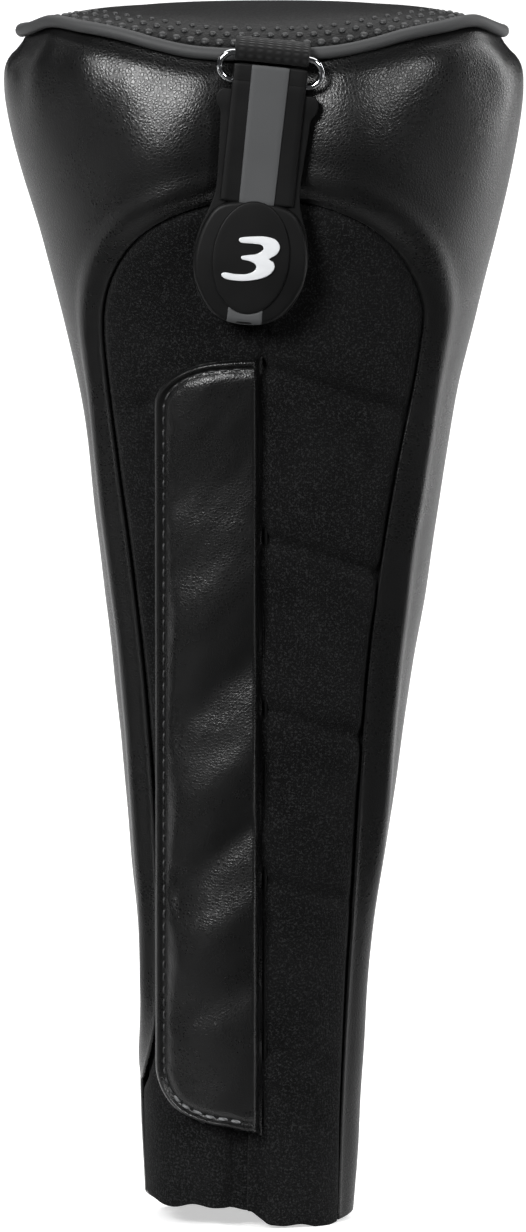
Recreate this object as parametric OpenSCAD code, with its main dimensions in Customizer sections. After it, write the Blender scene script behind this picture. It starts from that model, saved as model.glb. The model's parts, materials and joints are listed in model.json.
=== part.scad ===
// Long-neck golf club head cover: leather body, knit front panel, closure flap and a swinging number tag.
// Millimetres, +Z up. The neck hem lies at z = 0, the front faces -Y, and x = 0 is the front centre seam.

/* [Body] */
// Height of the body, from the neck hem to the crown seam
body_h = 331; // [300:1:360]
// Widest width of the head
head_w = 144; // [130:1:150]
// Largest depth of the head, front to back
head_d = 95; // [90:1:104]
// Width of the neck at the hem
neck_w = 58; // [56:1:64]
// Depth of the neck at the hem
neck_d = 46; // [44:1:52]
// Height of the crown's dome above its rim
crown_rise = 7; // [4:0.5:10]

/* [Layers] */
// Thickness of the leather and the knit panels
skin_t = 1.4; // [1:0.1:1.6]
// Thickness of the foam between skin and lining
foam_t = 2.1; // [1.5:0.1:2.4]
// Thickness of the fleece lining
lining_t = 1; // [0.8:0.1:1.2]
// Outer diameter of the crown piping
piping_d = 3.6; // [3:0.1:3.6]

/* [Closure flap] */
// Width of the flap, from its seam to its free edge
flap_w = 30; // [24:0.5:30]
// Height of the flap's lower edge
flap_bottom = 25; // [20:1:40]
// Thickness of the flap's leather
flap_t = 1.2; // [1:0.1:1.4]
// Width of the hook-and-loop strips
strip_w = 16; // [10:1:16]
// Length of one stitch and the gap after it
stitch_pitch = 3.6; // [3:0.1:5]

/* [Ring and tag] */
// Width of the webbing that holds the ring
webbing_w = 19.4; // [15:0.1:19.4]
// Outer length of the oval ring
ring_l = 30; // [30:0.5:34]
// Outer height of the oval ring
ring_h = 9.5; // [8:0.5:10]
// Diameter of the ring's wire
wire_d = 1.8; // [1.4:0.1:1.8]
// Length of the tag below the ring's lower bar
tag_l = 68; // [66:1:72]
// Width of the tag's body
tag_w = 24; // [22:0.5:26]
// Sideways lean of the ring and tag, in degrees
tag_lean = 6; // [0:1:8]

/* [Hidden] */
$fn = 48;
// Clearance between pieces that meet flat, and between curved layers whose facets differ
gap = 0.05;
layer_gap = 0.3;
tape_gap = 0.5;
foam_gap = 0.7;

// Share of the body's height against how far its width has opened, 0 at the neck and 1 at the widest
width_flare = [[0, 0], [0.06, 0.03], [0.15, 0.06], [0.24, 0.1], [0.33, 0.17], [0.42, 0.245], [0.51, 0.34],
    [0.6, 0.44], [0.69, 0.55], [0.77, 0.68], [0.83, 0.79], [0.89, 0.91], [0.935, 0.985], [0.96, 1],
    [0.98, 0.98], [1, 0.88]];
// The same for its depth, which opens in a straight line as far as the flap goes
depth_flare = [[0, 0], [0.74, 0.7], [0.83, 0.86], [0.89, 0.94], [0.935, 1], [0.965, 0.98], [1, 0.86]];
// Share of the height against how far the section's middle lies from the front seam
lean_line = [[0, -4.2], [0.15, -3.2], [0.3, -1.6], [0.45, 0], [0.6, 1.2], [0.72, 1.4], [0.84, 0.8],
    [0.96, 0]];
// Edges of the knit front panel: share of the height against x, meeting in the arch
panel_left = [[0, -31], [0.3, -31], [0.45, -34], [0.56, -38], [0.65, -42], [0.74, -46], [0.79, -46],
    [0.83, -41], [0.85, -33], [0.87, -20], [0.882, 0]];
panel_right = [[0, 23], [0.3, 27], [0.45, 30], [0.56, 34], [0.65, 39], [0.74, 45], [0.77, 47],
    [0.81, 45], [0.83, 40], [0.855, 29], [0.87, 16], [0.882, 0]];
squareness = 2.3;
arch_top = 0.882;
flap_top = 0.74 * body_h;

levels = [for (f = [0, 0.06, 0.15, 0.24, 0.33, 0.42, 0.51, 0.6, 0.69, 0.74, 0.77, 0.79, 0.81, 0.83, 0.85,
    0.87, 0.882, 0.91, 0.935, 0.96, 0.98, 1]) f * body_h];

foam_out = -skin_t - foam_gap;
foam_in = foam_out - foam_t;
lining_out = foam_in - layer_gap;
lining_in = lining_out - lining_t;
hem_h = 14;
elastic_t = 1;
hem_t = 0.8;
neck_lining_top = 150;
tape_t = 0.6;
gusset_t = 0.8;
slit_half = 0.3;
panel_gap = 0.05;
arch_clear = 4;

crown_z = body_h + 0.4;
crown_t = 1.4;
crown_edge = -piping_d / 2 - 0.15;
piping_z = body_h + piping_d / 2 + 0.1;
piping_wall = 0.5;

loop_out = 0.95;
hook_in = 1.3;
hook_t = 0.5;
facing_in = 2;
facing_t = 0.45;
flap_in = facing_in + facing_t + 3 * gap;
flap_out = flap_in + flap_t;
flap_seam_x = -0.5;
strip_low = 45;
strip_high = 225;
strip_right = -10;

bar_r = wire_d / 2;
bar_fit = 0.05;
bar_gap = ring_h - wire_d;
bar_half = (ring_l - wire_d - bar_gap) / 2;
// Middle of the ring's upper bar, just in front of the piping
hang = [2.5, -(neck_d / 2 + (head_d - neck_d) / 2 * 0.86 + 6.1), piping_z - 0.9];
webbing_t = 1.1;
strap_w = 19;
strap_t = 1.2;
strap_y = bar_r + bar_fit;
lobe_mid = 49.3;
lobe_size = [31.4, 32.4];
badge_mid = 48.3;
badge_size = [21.4, 31.4];
boss_y = 2.6;
badge_y = 3.8;

// ---- the body's section ----

function half_w(z) = neck_w / 2 + (head_w - neck_w) / 2 * lookup(z / body_h, width_flare);
function half_d(z) = neck_d / 2 + (head_d - neck_d) / 2 * lookup(z / body_h, depth_flare);
function mid_x(z) = lookup(z / body_h, lean_line);
function bent(s) = sign(s) * pow(abs(s), 2 / squareness);

// Point of the section at height z and angle t, which runs from the front over +X, moved out by off
function on_body(z, t, off) =
    [mid_x(z) + (half_w(z) + off) * bent(sin(t)), -(half_d(z) + off) * bent(cos(t)), z];

// Angle at which the front of the section reaches x
function angle_at(z, x) = let (u = (x - mid_x(z)) / half_w(z))
    sign(u) * asin(pow(min(abs(u), 1), squareness / 2));

function between(low, high) =
    concat([low], [for (z = levels) if (z > low + 0.5 && z < high - 0.5) z], [high]);

// ---- solids made from grids of points: rows run upwards, columns to the right as seen from outside ----

function quad(a, b, c, d) = [[a, b, c], [a, c, d]];

// Solid between an outer and an inner grid; closed joins the last column to the first
module shell(outer, inner, closed = false) {
    rows = len(outer);
    cols = len(outer[0]);
    spans = closed ? cols : cols - 1;
    count = rows * cols;
    function o(i, j) = i * cols + j % cols;
    function n(i, j) = count + o(i, j);
    t = rows - 1;
    e = cols - 1;
    outside = [for (i = [0 : t - 1], j = [0 : spans - 1])
        each quad(o(i, j), o(i + 1, j), o(i + 1, j + 1), o(i, j + 1))];
    inside = [for (i = [0 : t - 1], j = [0 : spans - 1])
        each quad(n(i, j), n(i, j + 1), n(i + 1, j + 1), n(i + 1, j))];
    bottom = [for (j = [0 : spans - 1]) each quad(o(0, j), o(0, j + 1), n(0, j + 1), n(0, j))];
    top = [for (j = [0 : spans - 1]) each quad(o(t, j), n(t, j), n(t, j + 1), o(t, j + 1))];
    left = [for (i = [0 : t - 1]) each quad(n(i, 0), n(i + 1, 0), o(i + 1, 0), o(i, 0))];
    right = [for (i = [0 : t - 1]) each quad(o(i, e), o(i + 1, e), n(i + 1, e), n(i, e))];
    polyhedron(points = concat([for (r = outer) each r], [for (r = inner) each r]),
        faces = concat(outside, inside, bottom, top, closed ? [] : left, closed ? [] : right), convexity = 6);
}

// Solid through a stack of closed rings, capped at both ends
module stack(rings) {
    rows = len(rings);
    cols = len(rings[0]);
    function o(i, j) = i * cols + j % cols;
    sides = [for (i = [0 : rows - 2], j = [0 : cols - 1])
        each quad(o(i, j), o(i + 1, j), o(i + 1, j + 1), o(i, j + 1))];
    bottom = [for (j = [0 : cols - 1]) o(0, j)];
    top = [for (j = [cols - 1 : -1 : 0]) o(rows - 1, j)];
    polyhedron(points = [for (r = rings) each r], faces = concat(sides, [bottom, top]), convexity = 6);
}

// Curved plate on the body, between two edge angles that depend on the height
module plate(heights, from, to, steps, inner, outer) {
    function grid(off) = [for (z = heights) let (a = from(z), b = to(z))
        [for (i = [0 : steps]) on_body(z, a + (b - a) * i / steps, off)]];
    shell(grid(outer), grid(inner));
}

// Plate between two x positions on the front
module front_plate(heights, left, right, steps, inner, outer)
    plate(heights, function(z) angle_at(z, left), function(z) angle_at(z, right), steps, inner, outer);

// Layer that runs round the body from one side of the front slit to the other
module layer(low, high, steps, inner, outer)
    plate(between(low, high), function(z) angle_at(z, slit_half), function(z) 360 + angle_at(z, -slit_half),
        steps, inner, outer);

// ---- crown ----

crown_angles = [for (i = [0 : 39]) i * 9];

// Ring of the crown at share f of its radius, with its rim moved in by edge, at height z
function crown_ring(f, edge, z) = [for (t = crown_angles) let (p = on_body(body_h, t, edge))
    [mid_x(body_h) + (p.x - mid_x(body_h)) * f, p.y * f, z]];
function dome(f) = crown_z + crown_rise * (1 - f * f);
crown_shares = [0.03, 0.3, 0.55, 0.75, 0.9, 1];

module crown_panel() {
    under = [for (f = crown_shares) crown_ring(f, crown_edge, dome(f))];
    over = [for (i = [len(crown_shares) - 1 : -1 : 0]) let (f = crown_shares[i])
        crown_ring(f, crown_edge, dome(f) + crown_t)];
    color("#2b2b2e") stack(concat(under, over));
}

module crown_padding() {
    shares = [0.03, 0.3, 0.55, 0.75, 0.88];
    under = [for (f = shares) crown_ring(f, crown_edge, crown_z - 0.15)];
    over = [for (i = [len(shares) - 1 : -1 : 0]) let (f = shares[i])
        crown_ring(f, crown_edge, dome(f) - 2 * gap)];
    color("#6d6a60") stack(concat(under, over));
}

module crown_lining() {
    color("#3a3a3c") stack([for (z = [body_h - 0.8, body_h + 0.1]) crown_ring(1, -3, z)]);
}

// Centre line of the piping, and the ring of its section at angle t
function piping_ring(t, r, sides) = let (c = on_body(body_h, t, 0),
    d = on_body(body_h, t + 1, 0) - on_body(body_h, t - 1, 0), n = [d.y, -d.x, 0] / norm([d.x, d.y]))
    [for (k = [0 : sides - 1]) let (w = -360 * k / sides)
        [c.x, c.y, piping_z] + r * (cos(w) * n + [0, 0, sin(w)])];
piping_angles = [for (i = [0 : 64]) -179 + i * 358 / 64];

module crown_piping() {
    r = piping_d / 2;
    color("#5a5c5f") shell([for (t = piping_angles) piping_ring(t, r, 10)],
        [for (t = piping_angles) piping_ring(t, r - piping_wall, 10)], closed = true);
}

module piping_cord() {
    color("#d8d5cc") stack([for (t = piping_angles) piping_ring(t, piping_d / 2 - piping_wall - gap, 10)]);
}

// ---- outer panels ----

// Angle of the knit panel's left or right edge at height z, moved along by shift
function left_edge(z, shift) = angle_at(z, lookup(z / body_h, panel_left) + shift);
function right_edge(z, shift) = angle_at(z, lookup(z / body_h, panel_right) + shift);
fabric_heights = between(0, arch_top * body_h - arch_clear);

module left_leather_panel() {
    color("#1b1b1d") plate(levels, function(z) -179.9, function(z) left_edge(z, -panel_gap), 15, -skin_t, 0);
}

module right_leather_panel() {
    color("#1b1b1d") plate(levels, function(z) right_edge(z, panel_gap), function(z) 179.9, 15, -skin_t, 0);
}

module left_front_fabric() {
    color("#262628") plate(fabric_heights, function(z) left_edge(z, panel_gap),
        function(z) angle_at(z, -slit_half), 6, -skin_t, 0);
}

module right_front_fabric() {
    color("#262628") plate(fabric_heights, function(z) angle_at(z, slit_half),
        function(z) right_edge(z, -panel_gap), 6, -skin_t, 0);
}

// ---- inner layers ----

module body_foam() {
    color("#77746a") layer(hem_h + 0.1, body_h - 1, 28, foam_in, foam_out);
}

module head_lining() {
    color("#3d3d40") layer(neck_lining_top + 0.1, body_h - 1, 28, lining_in, lining_out);
}

module neck_lining() {
    color("#434346") layer(hem_h + 0.1, neck_lining_top, 28, lining_in, lining_out);
}

module slit_gusset() {
    color("#202022") front_plate(between(2, flap_top - 4), -9, 9, 6, lining_in - tape_gap - gusset_t,
        lining_in - tape_gap);
}

module back_seam_tape() {
    color("#303033") plate(between(hem_h, body_h - 2), function(z) 174, function(z) 186, 4,
        lining_in - tape_gap - tape_t, lining_in - tape_gap);
}

module neck_elastic() {
    color("#c9c6bd") layer(2, hem_h - 2, 28, foam_out - elastic_t, foam_out);
}

module neck_hem() {
    inner = foam_out - elastic_t - layer_gap;
    color("#232325") layer(0, hem_h, 28, inner - hem_t, inner);
}

// ---- closure flap: its free edge is on the left, and it turns about the front seam ----

// Free edge of the flap, with an elliptic corner above and below
function corner(d, size) = d >= size[1] ? 0 : size[0] * (1 - sqrt(max(0, 1 - pow(1 - d / size[1], 2))));
top_corner = [17, 12];
bottom_corner = [14, 18];
function flap_edge(z, inset) = -flap_w + inset
    + corner(flap_top - inset - z, top_corner) + corner(z - flap_bottom - inset, bottom_corner);

function flap_heights(inset) = let (low = flap_bottom + inset, high = flap_top - inset) concat(
    [for (d = [0, 0.6, 2, 5, 10, 18]) low + d],
    [for (z = levels) if (z > low + 20 && z < high - 14) z],
    [for (d = [12, 7, 3, 1, 0]) high - d]);

module flap_layer(inset, inner, outer)
    plate(flap_heights(inset), function(z) angle_at(z, flap_edge(z, inset)),
        function(z) angle_at(z, flap_seam_x), 8, inner, outer);

module flap_welt() {
    color("#19191b") front_plate(between(flap_bottom, flap_top), 0.4, 2, 2, gap, 1.6);
}

module loop_strip() {
    color("#2e2e31") front_plate(between(strip_low, strip_high), strip_right - strip_w, strip_right, 4,
        2 * gap, loop_out);
}

module hook_strip() {
    color("#0f0f11") front_plate(between(strip_low, strip_high), strip_right - strip_w, strip_right, 4,
        hook_in, hook_in + hook_t);
}

module flap_facing() {
    color("#2a2a2c") flap_layer(0.8, facing_in, facing_in + facing_t);
}

module closure_flap() {
    color("#202023") flap_layer(0, flap_in, flap_out);
}

stitch_inset = 2.5;
stitch_l = 2.6;
thread_r = 0.3;

// Route of the topstitch on the flap: up the free edge between its corners, then along the top and the bottom
side_low = flap_bottom + bottom_corner[1] + 4;
side_high = flap_top - top_corner[1] - 4;

module stitch(z, x, along) {
    p = on_body(z, angle_at(z, x), flap_out + thread_r);
    q = on_body(z, angle_at(z, x + 0.5), flap_out + thread_r);
    turn = atan2(q.y - p.y, q.x - p.x);
    lift = atan((half_d(z + 1) - half_d(z)));
    translate(p) rotate([lift, 0, turn]) rotate([0, along ? 90 : 0, 0])
        cylinder(h = stitch_l, r = thread_r, center = true, $fn = 16);
}

module flap_topstitch() {
    color("#4a4a4e") {
        for (z = [side_low : stitch_pitch : side_high]) stitch(z, flap_edge(z, 0) + stitch_inset, false);
        for (x = [-3 : -stitch_pitch : -15]) stitch(flap_top - stitch_inset, x, true);
        for (x = [-3 : -stitch_pitch : -17]) stitch(flap_bottom + stitch_inset, x, true);
    }
}

// ---- ring and tag: their frame has its origin on the upper bar's middle, with the bars along x ----

module hardware() translate(hang) rotate([0, tag_lean, 0]) children();
module across(width) rotate([90, 0, 90]) linear_extrude(height = width, center = true) children();

module webbing_loop() {
    color("#29292b") hardware() across(webbing_w) difference() {
        polygon(concat([for (a = [110 : 15 : 380]) (bar_r + bar_fit + webbing_t) * [cos(a), sin(a)]],
            [[5, 4.15], [6.6, 4.15], [8.8, 3.7], [8.8, 5.7], [6.6, 6.3], [4.4, 6.3]]));
        circle(r = bar_r + bar_fit);
    }
}

module oval_ring() {
    color("silver") hardware() {
        for (z = [0, -bar_gap]) translate([0, 0, z]) rotate([0, 90, 0])
            cylinder(h = 2 * bar_half, r = bar_r, center = true);
        for (side = [-1, 1]) translate([side * bar_half, 0, -bar_gap / 2]) rotate([90, 0, 0])
            rotate([0, 0, -90 * side]) rotate_extrude(angle = 180) translate([bar_gap / 2, 0])
                circle(r = bar_r);
    }
}

// Frame of the tag: origin on the lower bar, y forwards, x to the right, and heights counted downwards
module on_tag(front, back) hardware() translate([0, -back, -bar_gap]) rotate([90, 0, 0])
    linear_extrude(height = front - back) children();
function oval(mid, size) = [for (i = [0 : 47])
    [size[0] / 2 * cos(i * 7.5), -mid + size[1] / 2 * sin(i * 7.5)]];

module tag_strap() {
    color("#202022") union() {
        hardware() translate([0, 0, -bar_gap]) across(strap_w) difference() {
            union() {
                circle(r = strap_y + strap_t);
                translate([-strap_y - strap_t, -33]) square([strap_t, 33]);
                translate([strap_y, -9]) square([strap_t, 9]);
            }
            circle(r = strap_y);
        }
    }
}

module tag_outline() {
    half = tag_w / 2;
    polygon([[-half, -31], [-half - 0.6, -8], [-half - 2, -6.6], [-half - 2, -3.6], [-half - 0.8, -2.5],
        [half + 0.8, -2.5], [half + 2, -3.6], [half + 2, -6.6], [half + 0.6, -8], [half, -31], [half, -42],
        [-half, -42]]);
    polygon(oval(lobe_mid, lobe_size));
}

module tag_body() {
    plate_y = strap_y - 0.02;
    color("#1d1d1f") union() {
        on_tag(plate_y, -plate_y) tag_outline();
        on_tag(boss_y, plate_y - 0.5) intersection() {
            polygon(oval(lobe_mid, lobe_size));
            translate([-20, -80]) square([40, 80 - 33.2]);
        }
    }
}

module tag_stripe() {
    front = strap_y + strap_t + 0.5;
    color("#8a8c90") union() {
        on_tag(front, front - 0.48) polygon([[-4.7, -33], [4.7, -33], [5, 0], [-5, 0]]);
        on_tag(boss_y + 0.5, boss_y + 0.02) difference() {
            translate([-4.6, -tag_l]) square([9.2, 8]);
            polygon(oval(badge_mid, badge_size + [0.6, 0.6]));
        }
    }
}

module tag_badge() {
    color("#1a1a1c") on_tag(badge_y, boss_y + 0.02) polygon(oval(badge_mid, badge_size));
}

// Numeral 3: two slanted strokes through these points, with the half width at each
upper_stroke = [[-5.6, 4.6, 0.5], [-4.4, 5, 0.9], [0, 5.3, 0.9], [4.2, 5, 1], [6, 3.8, 1.2], [5.5, 2.1, 1.2],
    [3.4, 1, 0.9], [0.6, 0.5, 0.6]];
lower_stroke = [[0.9, 0.6, 0.6], [2.9, 0.1, 0.8], [4.2, -1, 1.1], [4.2, -2.7, 1.3], [2.2, -4.3, 1.2],
    [-2.2, -5.1, 1], [-7.8, -5.4, 0.5]];

// Point beside a stroke's i-th point: side 1 is its left and -1 its right
function beside(path, i, side) = let (a = path[max(i - 1, 0)], b = path[min(i + 1, len(path) - 1)],
    d = [b.x - a.x, b.y - a.y], n = [-d.y, d.x] / norm(d)) [path[i].x, path[i].y] + side * path[i][2] * n;

module stroke(path) {
    last = len(path) - 1;
    polygon(concat([for (i = [0 : last]) beside(path, i, 1)],
        [for (i = [last : -1 : 0]) beside(path, i, -1)]));
}

module tag_numeral() {
    color("#e6e6e8") on_tag(badge_y + 0.7, badge_y + 0.02) translate([0.6, -badge_mid - 1.8]) {
        stroke(upper_stroke);
        stroke(lower_stroke);
    }
}

crown_panel();
crown_padding();
crown_lining();
crown_piping();
piping_cord();
left_leather_panel();
right_leather_panel();
left_front_fabric();
right_front_fabric();
body_foam();
head_lining();
neck_lining();
slit_gusset();
back_seam_tape();
neck_hem();
neck_elastic();
flap_welt();
loop_strip();
webbing_loop();
closure_flap();
flap_facing();
hook_strip();
flap_topstitch();
oval_ring();
tag_strap();
tag_body();
tag_stripe();
tag_badge();
tag_numeral();
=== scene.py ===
"""Head cover for a golf wood: padded leather body, knit front panel, closure flap, wire ring and number tag.

Metres, in the CAD frame: +Z up, the neck hem at z = 0, the front faces -Y and x = 0 is the front centre seam.
"""
import json
import math

import bmesh
import bpy
import numpy as np
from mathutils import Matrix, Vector


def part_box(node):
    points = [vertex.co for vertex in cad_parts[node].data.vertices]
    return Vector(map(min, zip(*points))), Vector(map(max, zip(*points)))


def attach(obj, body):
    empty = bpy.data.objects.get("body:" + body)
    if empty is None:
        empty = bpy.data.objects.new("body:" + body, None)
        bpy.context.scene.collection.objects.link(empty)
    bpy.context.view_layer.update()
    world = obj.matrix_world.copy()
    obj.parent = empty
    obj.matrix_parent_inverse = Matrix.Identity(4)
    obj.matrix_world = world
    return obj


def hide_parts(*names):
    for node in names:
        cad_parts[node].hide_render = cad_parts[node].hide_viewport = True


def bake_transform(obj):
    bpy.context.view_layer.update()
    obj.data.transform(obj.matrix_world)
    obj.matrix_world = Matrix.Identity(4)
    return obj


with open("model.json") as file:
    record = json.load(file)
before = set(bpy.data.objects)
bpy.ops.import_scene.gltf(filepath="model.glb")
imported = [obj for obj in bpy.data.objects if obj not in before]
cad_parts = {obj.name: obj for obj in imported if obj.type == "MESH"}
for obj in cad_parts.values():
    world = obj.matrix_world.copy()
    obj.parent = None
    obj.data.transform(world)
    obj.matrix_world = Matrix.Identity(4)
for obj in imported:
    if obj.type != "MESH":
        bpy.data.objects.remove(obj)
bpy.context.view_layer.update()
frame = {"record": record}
MM = 0.001

# ---- driving sizes, as the CAD model has them ----

BODY_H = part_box("left_leather_panel")[1][2]
NECK_W, NECK_D = 58 * MM, 46 * MM
HEAD_W, HEAD_D = 144 * MM, 95 * MM
SQUARENESS = 2.3
SEAM_TOP = 0.74 * BODY_H
FLAP_BOTTOM = 25 * MM
FLAP_W = 30 * MM
STITCH_PITCH = 3.6 * MM
ARCH_TOP = 0.882 * BODY_H

# Share of the body's height against how far its width and its depth have opened, and the lean of its middle
WIDTH_FLARE = [(0, 0), (0.06, 0.03), (0.15, 0.06), (0.24, 0.1), (0.33, 0.17), (0.42, 0.245), (0.51, 0.34),
               (0.6, 0.44), (0.69, 0.55), (0.77, 0.68), (0.83, 0.79), (0.89, 0.91), (0.935, 0.985), (0.96, 1),
               (0.98, 0.98), (1, 0.88)]
DEPTH_FLARE = [(0, 0), (0.37, 0.35), (0.74, 0.7), (0.83, 0.86), (0.89, 0.94), (0.935, 1), (0.965, 0.98),
               (1, 0.86)]
LEAN = [(0, -4.2), (0.15, -3.2), (0.3, -1.6), (0.45, 0), (0.6, 1.2), (0.72, 1.4), (0.84, 0.8), (0.96, 0),
        (1, 0)]
# Straight stretches of the knit panel's edges: share of the height against x in millimetres
PANEL_LEFT = [(0, -31), (0.15, -31), (0.3, -31), (0.45, -34), (0.56, -38), (0.65, -42), (0.75, -46),
              (0.78, -46.4)]
PANEL_RIGHT = [(0, 23), (0.15, 24.5), (0.3, 27), (0.45, 30), (0.56, 34), (0.65, 39), (0.73, 44.4), (0.78, 47)]
ARCH_FOOT = 0.757


def smooth(x, table):
    """Smooth curve through a table's points, flat beyond its ends."""
    xs, ys = (np.array(column, float) for column in zip(*table))
    slope = np.diff(ys) / np.diff(xs)
    tangent = np.concatenate([[slope[0]], (slope[1:] + slope[:-1]) / 2, [slope[-1]]])
    x = np.clip(x, xs[0], xs[-1])
    i = np.clip(np.searchsorted(xs, x) - 1, 0, len(xs) - 2)
    step = xs[i + 1] - xs[i]
    t = (x - xs[i]) / step
    return ((1 + 2 * t) * (1 - t) ** 2 * ys[i] + t * (1 - t) ** 2 * step * tangent[i]
            + t * t * (3 - 2 * t) * ys[i + 1] - t * t * (1 - t) * step * tangent[i + 1])


def ramp(x, low, high):
    """0 below low, 1 above high and a smooth rise between."""
    t = np.clip((x - low) / (high - low), 0, 1)
    return t * t * (3 - 2 * t)


def bell(x, mid, width):
    return np.exp(-((x - mid) / width) ** 2)


# ---- the body's section ----

def half_w(z):
    return NECK_W / 2 + (HEAD_W - NECK_W) / 2 * smooth(z / BODY_H, WIDTH_FLARE)


def half_d(z):
    return NECK_D / 2 + (HEAD_D - NECK_D) / 2 * smooth(z / BODY_H, DEPTH_FLARE)


def mid_x(z):
    return smooth(z / BODY_H, LEAN) * MM


def bent(s):
    return np.sign(s) * np.abs(s) ** (2 / SQUARENESS)


# Rise of the crown seam above its middle, in millimetres against the distance from the front seam
SEAM_RISE = [(0, -1.2), (20, -0.3), (30, 1.5), (40, 3.8), (50, 5.2), (59, 5.8), (64, 3.2), (68, 0.4)]


def seam_lift(x, t=0.0):
    """How far the crown seam rises towards the head's corners; it drops again behind them."""
    ahead = ramp(np.cos(t), -0.6, 0.2)
    return MM * (smooth(np.abs(x) / MM, SEAM_RISE) * ahead - 2.5 * (1 - ahead))


def hem_lift(x, t):
    """How far the hem is turned up: the left half of the front is shorter, and its edge is uneven."""
    front = ramp(np.cos(t), -0.95, 0.1)
    ragged = 0.5 * np.sin(x * 260) + 0.35 * np.sin(x * 610 + 1)
    return MM * front * (5.4 * (1 - ramp(x, -0.004, 0.002)) + 2.2 * ramp(-x, 0.0275, 0.0335)
                         + 2.2 * bell(x, 0.0265, 0.003) + ragged)


def on_body(z, t, off=0.0):
    """Point of the section at height z and angle t, which runs from the front over +X, moved out by off."""
    x = mid_x(z) + (half_w(z) + off) * bent(np.sin(t))
    lift = seam_lift(x, t) * ramp(z, 0.285, BODY_H) + hem_lift(x, t) * (1 - ramp(z, -0.004, 0.06))
    return np.stack([x, -(half_d(z) + off) * bent(np.cos(t)), z + lift], axis=-1)


def angle_at(z, x, off=0.0):
    """Angle at which the front of the section, moved out by off, reaches x."""
    u = np.clip((x - mid_x(z)) / (half_w(z) + off), -1, 1)
    return np.sign(u) * np.arcsin(np.abs(u) ** (SQUARENESS / 2))


def panel_edge(z, side, grow=0.0):
    """x of the knit panel's edge at height z: side -1 is the left and 1 the right; grow widens it."""
    share = z / BODY_H
    table, power = (PANEL_LEFT, 2.5) if side < 0 else (PANEL_RIGHT, 2.2)
    straight = np.abs(smooth(share, table)) * MM + grow
    if side < 0:
        straight = straight + 0.006 * (1 - ramp(z, 0.016, 0.062))
    u = np.clip((z - ARCH_FOOT * BODY_H) / (ARCH_TOP + grow - ARCH_FOOT * BODY_H), 0, 1)
    return side * straight * np.sqrt(1 - u ** power)


def arch_rows(step, top):
    """Heights from the hem to top, closer together where the arch's edge runs flat."""
    near = 14 * MM
    count = int(round((top - near) / step))
    return np.concatenate([np.linspace(0, top - near, count, endpoint=False),
                           top - near * (1 - np.linspace(0, 1, 26)) ** 2])


# ---- meshes ----

def link(name, mesh):
    piece = bpy.data.objects.new(name, mesh)
    bpy.context.scene.collection.objects.link(piece)
    return piece


def from_faces(name, points, faces):
    mesh = bpy.data.meshes.new(name)
    mesh.from_pydata([tuple(p) for p in points], [], faces)
    mesh.update()
    mesh.polygons.foreach_set("use_smooth", [True] * len(mesh.polygons))
    return link(name, mesh)


def normals_of(grid, closed=False):
    """Outward unit normals of a grid whose rows run up and columns to the right, seen from outside."""
    if closed:
        right = np.roll(grid, -1, axis=1) - np.roll(grid, 1, axis=1)
    else:
        right = np.gradient(grid, axis=1)
    up = np.gradient(grid, axis=0)
    n = np.cross(right, up)
    return n / np.maximum(np.linalg.norm(n, axis=2, keepdims=True), 1e-12)


def spread(value, shape):
    return np.broadcast_to(np.asarray(value, float), shape).reshape(*shape, 1)


def cloth(name, grid, thickness, closed=False, uv=None):
    """Closed sheet below the grid's surface, with rounded edges and a UV map in metres."""
    n = normals_of(grid, closed)
    rows, cols = grid.shape[:2]
    under = grid - n * spread(thickness, (rows, cols))
    points = [grid.reshape(-1, 3), under.reshape(-1, 3)]
    total = rows * cols
    index = np.arange(total).reshape(rows, cols)
    if closed:
        wrap = np.concatenate([index, index[:, :1]], axis=1)
    else:
        wrap = index
    a, b, c, d = wrap[:-1, :-1], wrap[:-1, 1:], wrap[1:, 1:], wrap[1:, :-1]
    top = np.stack([a, b, c, d], axis=-1).reshape(-1, 4)
    faces = [top, top[:, ::-1] + total]
    if closed:
        loops = [wrap[0, :], wrap[-1, ::-1]]
    else:
        loops = [np.concatenate([index[0, :], index[1:, -1], index[-1, -2::-1], index[-2:0:-1, 0],
                                 index[:1, 0]])]
    for loop in loops:
        faces += rim(points, grid.reshape(-1, 3), under.reshape(-1, 3), n.reshape(-1, 3), loop, total,
                     neighbours(loop, index, closed))
    piece = from_faces(name, np.concatenate(points), np.concatenate(faces).tolist())
    add_uv(piece, cloth_uv(grid) if uv is None else uv)
    return piece


def neighbours(loop, index, closed):
    """For each point of a rim, the point next to it inside the sheet."""
    rows, cols = index.shape
    r, c = np.divmod(loop, cols)
    r = np.where(r == 0, 1, np.where(r == rows - 1, rows - 2, r))
    if not closed:
        c = np.where(c == 0, 1, np.where(c == cols - 1, cols - 2, c))
    return r * cols + c


def rim(points, over, under, n, loop, total, inside):
    """Faces of a half-round edge that joins the two sides of a sheet along a loop of points."""
    out = over[loop] - over[inside]
    out -= n[loop] * (out * n[loop]).sum(axis=1, keepdims=True)
    out /= np.maximum(np.linalg.norm(out, axis=1, keepdims=True), 1e-12)
    mid = (over[loop] + under[loop]) / 2
    half = (over[loop] - under[loop]) / 2
    radius = np.linalg.norm(half, axis=1, keepdims=True)
    rings = [loop]
    base = sum(len(p) for p in points)
    for k, angle in enumerate((45, 90, 135)):
        w = math.radians(angle)
        points.append(mid + half * math.cos(w) + out * radius * math.sin(w))
        rings.append(base + k * len(loop) + np.arange(len(loop)))
    rings.append(loop + total)
    for ring in rings[1:-1]:
        ring[-1] = ring[0] if loop[0] == loop[-1] else ring[-1]
    return [np.stack([p[1:], p[:-1], q[:-1], q[1:]], axis=-1) for p, q in zip(rings, rings[1:])]


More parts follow.
